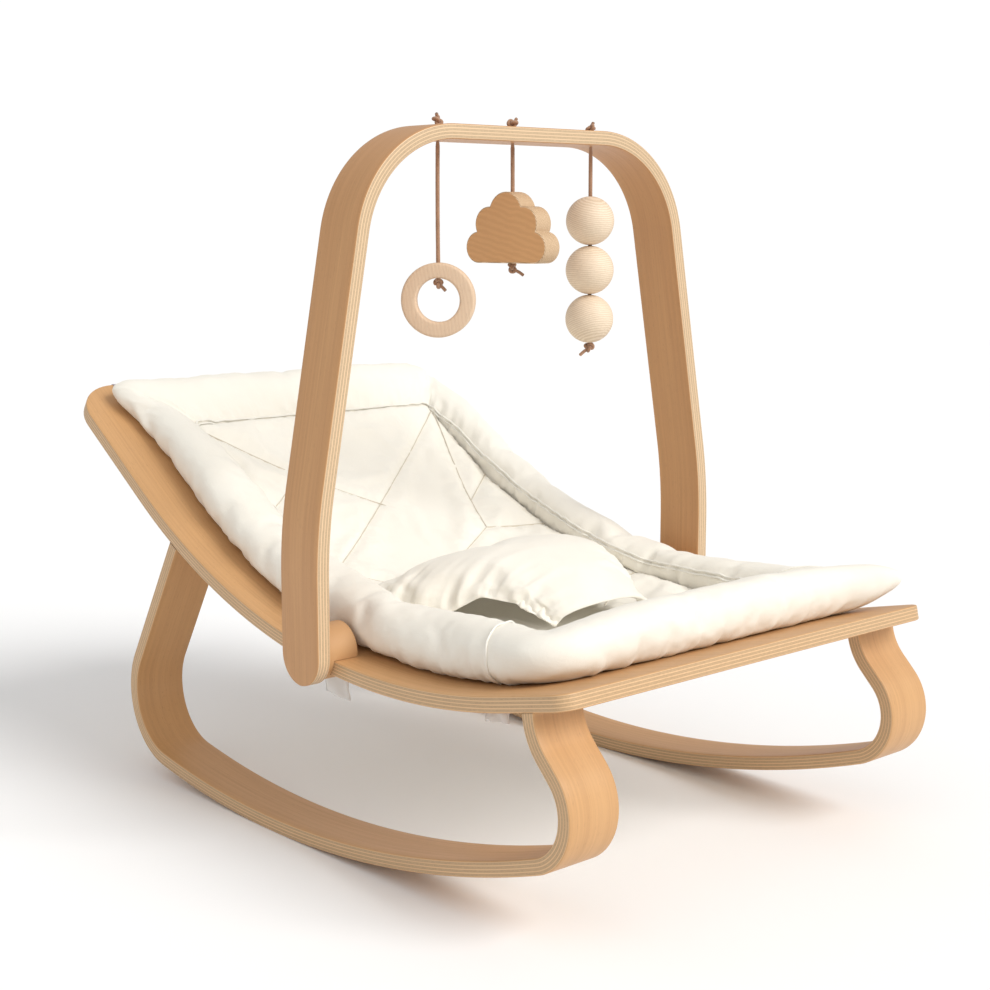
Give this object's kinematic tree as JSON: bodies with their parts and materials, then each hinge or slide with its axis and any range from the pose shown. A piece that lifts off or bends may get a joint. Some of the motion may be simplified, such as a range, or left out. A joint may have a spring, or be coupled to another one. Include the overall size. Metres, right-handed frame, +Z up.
{
  "type": "baby rocker seat",
  "caption": "Baby rocker seat of bent plywood with a padded quilted cushion, curved rockers and a tilting toy arch that carries hanging wooden toys.",
  "frame": {"origin": "centre of the bounding box in plan, on the floor plane under the rockers", "axes": "+X across the seat towards the baby's left, +Y from the foot end to the head end, +Z up"},
  "size_m": [0.466, 0.7005, 0.6062],
  "materials": {
    "beech_ply": "clear satin lacquer",
    "block_wood": "clear satin lacquer",
    "pale_wood": "smooth, oiled",
    "cloud_wood": "smooth, oiled",
    "ivory_cotton": "soft matt woven cotton",
    "tab_cotton": "matt woven tape",
    "elastic": "matt knitted elastic",
    "cord": "matt suede",
    "steel": "plated"
  },
  "bodies": {
    "rocker_seat": {"seat_frame": "beech_ply", "rocker_right": "beech_ply", "rocker_left": "beech_ply", "rocker_screws": "steel", "clamp_block_right": "block_wood", "clamp_block_left": "block_wood", "cushion_border": "ivory_cotton", "quilted_panel": "ivory_cotton", "harness_pad": "ivory_cotton", "rail_tabs": "tab_cotton", "head_straps": "elastic", "tab_snaps": "steel"},
    "arch": {"activity_arch": "beech_ply", "pivot_pin_right": "steel", "pivot_pin_left": "steel", "pivot_insert_right": "steel", "pivot_insert_left": "steel", "ring_hanger_knot": "cord", "cloud_hanger_knot": "cord", "bead_hanger_knot": "cord"},
    "ring_line": {"ring_cord": "cord"},
    "ring": {"ring_toy": "pale_wood", "ring_end_knot": "cord"},
    "cloud_line": {"cloud_cord": "cord"},
    "cloud": {"cloud_toy": "cloud_wood", "cloud_end_knot": "cord"},
    "bead_line": {"bead_cord": "cord", "bead_end_knot": "cord"},
    "top_bead": {"bead_top": "pale_wood"},
    "middle_bead": {"bead_middle": "pale_wood"},
    "bottom_bead": {"bead_bottom": "pale_wood"}
  },
  "joints": [
    {"name": "arch_tilt", "type": "hinge", "parent": "rocker_seat", "child": "arch", "pos_m": [0, -0.057, 0.172], "axis": [1, 0, 0], "range_deg": [-40, 40]},
    {"name": "ring_swing", "type": "hinge", "parent": "arch", "child": "ring_line", "pos_m": [-0.085, -0.057, 0.5845], "axis": [1, 0, 0], "range_deg": [-25, 25]},
    {"name": "ring_spin", "type": "hinge", "parent": "ring_line", "child": "ring", "pos_m": [-0.085, -0.057, 0.453], "axis": [0, 0, 1], "continuous": true},
    {"name": "cloud_swing", "type": "hinge", "parent": "arch", "child": "cloud_line", "pos_m": [-0.001, -0.057, 0.5845], "axis": [1, 0, 0], "range_deg": [-25, 25]},
    {"name": "cloud_spin", "type": "hinge", "parent": "cloud_line", "child": "cloud", "pos_m": [-0.001, -0.057, 0.513], "axis": [0, 0, 1], "continuous": true},
    {"name": "bead_swing", "type": "hinge", "parent": "arch", "child": "bead_line", "pos_m": [0.094, -0.057, 0.5845], "axis": [1, 0, 0], "range_deg": [-25, 25]},
    {"name": "top_bead_spin", "type": "hinge", "parent": "bead_line", "child": "top_bead", "pos_m": [0.094, -0.057, 0.519], "axis": [0, 0, 1], "continuous": true},
    {"name": "middle_bead_spin", "type": "hinge", "parent": "bead_line", "child": "middle_bead", "pos_m": [0.094, -0.057, 0.475], "axis": [0, 0, 1], "continuous": true},
    {"name": "bottom_bead_spin", "type": "hinge", "parent": "bead_line", "child": "bottom_bead", "pos_m": [0.094, -0.057, 0.431], "axis": [0, 0, 1], "continuous": true}
  ]
}
